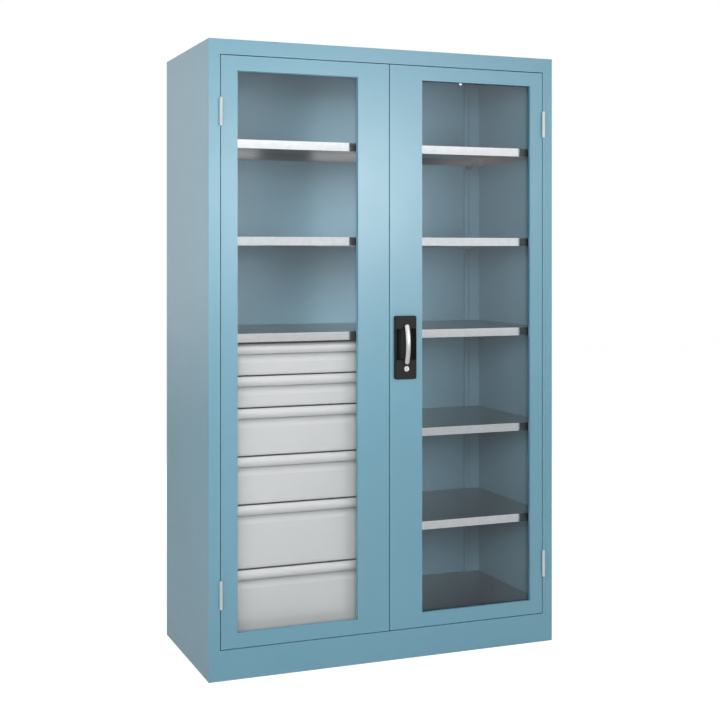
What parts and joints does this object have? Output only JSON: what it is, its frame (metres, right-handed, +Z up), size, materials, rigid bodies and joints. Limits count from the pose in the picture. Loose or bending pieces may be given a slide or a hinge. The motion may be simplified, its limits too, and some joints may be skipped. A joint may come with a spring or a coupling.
{
  "type": "storage cabinet",
  "caption": "Tall steel storage cabinet with two windowed hinged doors, a lever lock, shelves, and a block of drawers at the lower left.",
  "frame": {"origin": "centre of the bounding box at the underside of the glides", "axes": "+X to the cabinet's right seen from the front, +Y to the back, +Z up; the doors face -Y"},
  "size_m": [1.2, 0.534, 1.952],
  "materials": {
    "blue_paint": "fine-textured powder coat, satin",
    "grey_paint": "powder coat, satin",
    "galvanised": "bright galvanised sheet",
    "zinc": "zinc plated",
    "satin_chrome": "satin chrome",
    "black_plastic": "fine grained",
    "rubber": "matt",
    "clear_pane": "clear, lightly tinted"
  },
  "bodies": {
    "carcass": {"side_panel_left": "blue_paint", "side_panel_right": "blue_paint", "front_stiles": "blue_paint", "roof_panel": "blue_paint", "header_rail": "blue_paint", "back_panel": "blue_paint", "floor_shelf": "galvanised", "plinth_front": "blue_paint", "base_rails": "blue_paint", "slotted_posts": "blue_paint", "partition": "blue_paint", "drawer_cheek": "galvanised", "drawer_runners": "galvanised", "shelf_clips": "galvanised", "glides": "black_plastic", "hinge_frame_halves": "zinc", "hinge_pins": "zinc", "lock_keepers": "zinc", "door_buffers": "rubber", "shelf_top": "galvanised", "shelf_upper": "galvanised", "shelf_middle": "galvanised", "shelf_right_upper": "galvanised", "shelf_right_lower": "galvanised"},
    "door_left": {"door_left_panel": "blue_paint", "door_left_seal": "rubber", "door_left_pane": "clear_pane", "door_left_retainer": "blue_paint", "door_left_hinge_halves": "zinc"},
    "door_right": {"door_right_panel": "blue_paint", "door_right_seal": "rubber", "door_right_pane": "clear_pane", "door_right_retainer": "blue_paint", "door_right_hinge_halves": "zinc", "handle_escutcheon": "black_plastic", "lock_case": "zinc", "rod_guides": "black_plastic", "case_screws": "zinc"},
    "lever": {"lever_handle": "satin_chrome"},
    "lock": {"lock_cylinder": "satin_chrome"},
    "upper_rod": {"rod_upper": "zinc"},
    "lower_rod": {"rod_lower": "zinc"},
    "drawer_1": {"drawer_body_1": "grey_paint", "drawer_grip_1": "grey_paint", "drawer_slides_1": "galvanised"},
    "drawer_2": {"drawer_body_2": "grey_paint", "drawer_grip_2": "grey_paint", "drawer_slides_2": "galvanised"},
    "drawer_3": {"drawer_body_3": "grey_paint", "drawer_grip_3": "grey_paint", "drawer_slides_3": "galvanised"},
    "drawer_4": {"drawer_body_4": "grey_paint", "drawer_grip_4": "grey_paint", "drawer_slides_4": "galvanised"},
    "drawer_5": {"drawer_body_5": "grey_paint", "drawer_grip_5": "grey_paint", "drawer_slides_5": "galvanised"},
    "drawer_6": {"drawer_body_6": "grey_paint", "drawer_grip_6": "grey_paint", "drawer_slides_6": "galvanised"}
  },
  "joints": [
    {"name": "door_left_swing", "type": "hinge", "parent": "carcass", "child": "door_left", "pos_m": [-0.5632, -0.2388, 0.977], "axis": [0, 0, -1], "range_deg": [0, 180]},
    {"name": "door_right_swing", "type": "hinge", "parent": "carcass", "child": "door_right", "pos_m": [0.5632, -0.2388, 0.977], "axis": [0, 0, 1], "range_deg": [0, 180]},
    {"name": "lever_turn", "type": "hinge", "parent": "door_right", "child": "lever", "pos_m": [0.053, -0.2464, 1.0645], "axis": [0, -1, 0], "range_deg": [0, 90]},
    {"name": "key_turn", "type": "hinge", "parent": "door_right", "child": "lock", "pos_m": [0.053, -0.24605, 0.9322], "axis": [0, 1, 0], "range_deg": [0, 90]},
    {"name": "rod_upper_slide", "type": "slide", "parent": "door_right", "child": "upper_rod", "axis": [0, 0, -1], "range_m": [0, 0.0197]},
    {"name": "rod_lower_slide", "type": "slide", "parent": "door_right", "child": "lower_rod", "axis": [0, 0, 1], "range_m": [0, 0.0197]},
    {"name": "drawer_1_slide", "type": "slide", "parent": "carcass", "child": "drawer_1", "axis": [0, -1, 0], "range_m": [0, 0.02]},
    {"name": "drawer_2_slide", "type": "slide", "parent": "carcass", "child": "drawer_2", "axis": [0, -1, 0], "range_m": [0, 0.02]},
    {"name": "drawer_3_slide", "type": "slide", "parent": "carcass", "child": "drawer_3", "axis": [0, -1, 0], "range_m": [0, 0.02]},
    {"name": "drawer_4_slide", "type": "slide", "parent": "carcass", "child": "drawer_4", "axis": [0, -1, 0], "range_m": [0, 0.02]},
    {"name": "drawer_5_slide", "type": "slide", "parent": "carcass", "child": "drawer_5", "axis": [0, -1, 0], "range_m": [0, 0.02]},
    {"name": "drawer_6_slide", "type": "slide", "parent": "carcass", "child": "drawer_6", "axis": [0, -1, 0], "range_m": [0, 0.02]}
  ],
  "couplings": [
    {"joint": "rod_upper_slide", "follows": "lever_turn", "m_per_rad": 0.01254},
    {"joint": "rod_lower_slide", "follows": "lever_turn", "m_per_rad": 0.01254}
  ]
}
